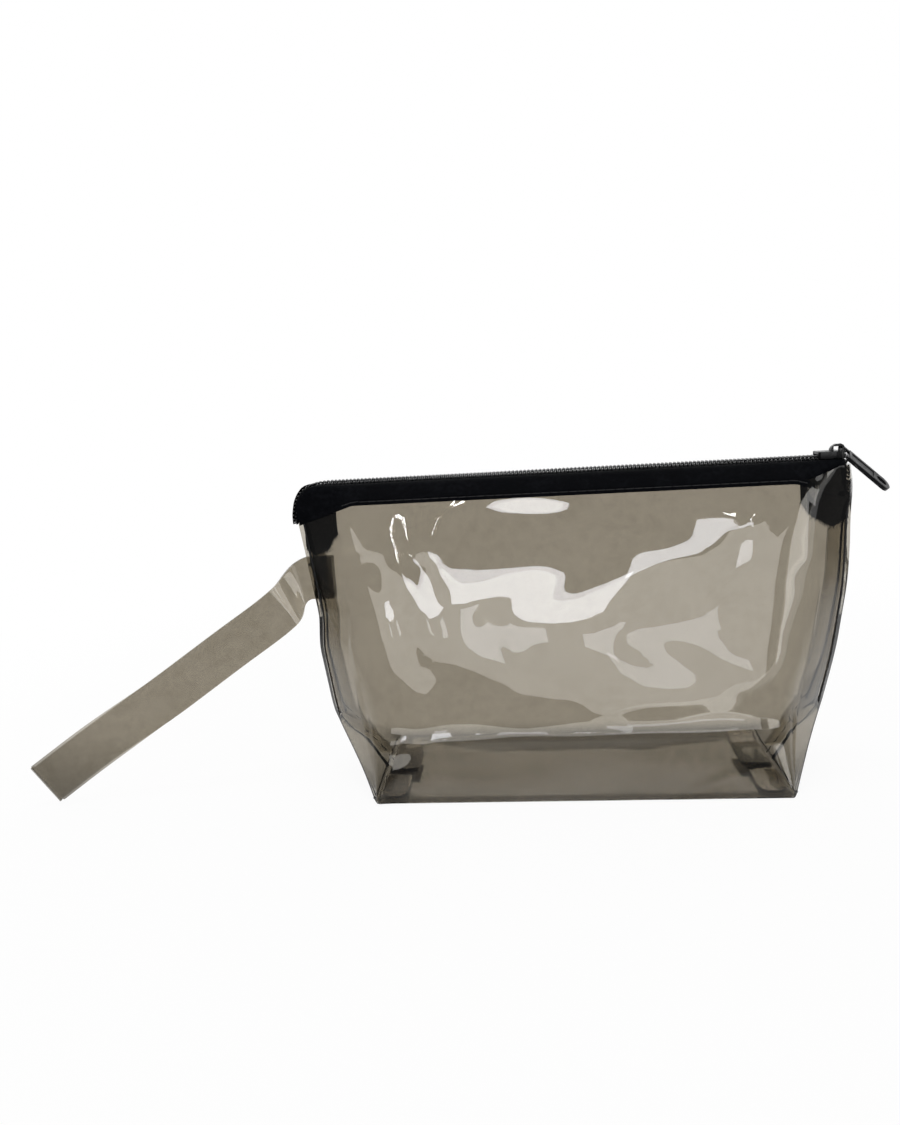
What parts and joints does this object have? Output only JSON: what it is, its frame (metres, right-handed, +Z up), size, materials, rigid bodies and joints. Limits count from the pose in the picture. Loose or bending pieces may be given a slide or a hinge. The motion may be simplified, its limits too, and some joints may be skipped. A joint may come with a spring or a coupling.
{
  "type": "makeup bag",
  "caption": "Boxed-corner pouch in smoke-tinted clear film with a coil zip, slider, pull tab and side wrist strap.",
  "frame": {"origin": "centre of the flat base, on the surface the pouch stands on", "axes": "+X towards the end where the zip closes, -Y towards the front, +Z up"},
  "size_m": [0.286, 0.054, 0.1072],
  "materials": {
    "film": "clear smoke-tinted flexible film, high gloss, softly rippled",
    "tape": "black woven zip tape, matt",
    "coil": "black nylon coil, satin",
    "black_metal": "black baked paint, satin",
    "thread": "black sewing thread"
  },
  "bodies": {
    "pouch": {"film_body": "film", "left_zip_end": "tape", "right_zip_end": "tape", "left_end_coil": "coil", "right_end_coil": "coil", "left_tape_tails": "tape", "right_tape_tails": "tape", "strap_root": "film"},
    "front_zip_half": {"front_zip_tape": "tape", "front_zip_coil": "coil"},
    "back_zip_half": {"back_zip_tape": "tape", "back_zip_coil": "coil"},
    "slider": {"slider_body": "black_metal"},
    "tab": {"pull_tab": "black_metal"},
    "strap": {"wrist_strap": "film"}
  },
  "joints": [
    {"name": "slider_slide", "type": "slide", "parent": "pouch", "child": "slider", "axis": [-1, 0, 0], "range_m": [0, 0.1615], "deforming": ["front_zip_tape", "back_zip_tape", "front_zip_coil", "back_zip_coil"]},
    {"name": "tab_swing", "type": "hinge", "parent": "slider", "child": "tab", "pos_m": [0.08575, 0, 0.1059], "axis": [0, -1, 0], "range_deg": [0, 222]},
    {"name": "front_zip_open", "type": "hinge", "parent": "pouch", "child": "front_zip_half", "pos_m": [0, -0.00875, 0.09775], "axis": [1, 0, 0], "range_deg": [0, 60]},
    {"name": "back_zip_open", "type": "hinge", "parent": "pouch", "child": "back_zip_half", "pos_m": [0, 0.00875, 0.09775], "axis": [-1, 0, 0], "range_deg": [0, 60]},
    {"name": "strap_swing", "type": "hinge", "parent": "pouch", "child": "strap", "pos_m": [-0.09016, 0, 0.071], "axis": [0, 0, 1], "range_deg": [-60, 60]}
  ],
  "couplings": [
    {"joint": "front_zip_open", "follows": "slider_slide", "rad_per_m": 6.48},
    {"joint": "back_zip_open", "follows": "slider_slide", "rad_per_m": 6.48}
  ]
}
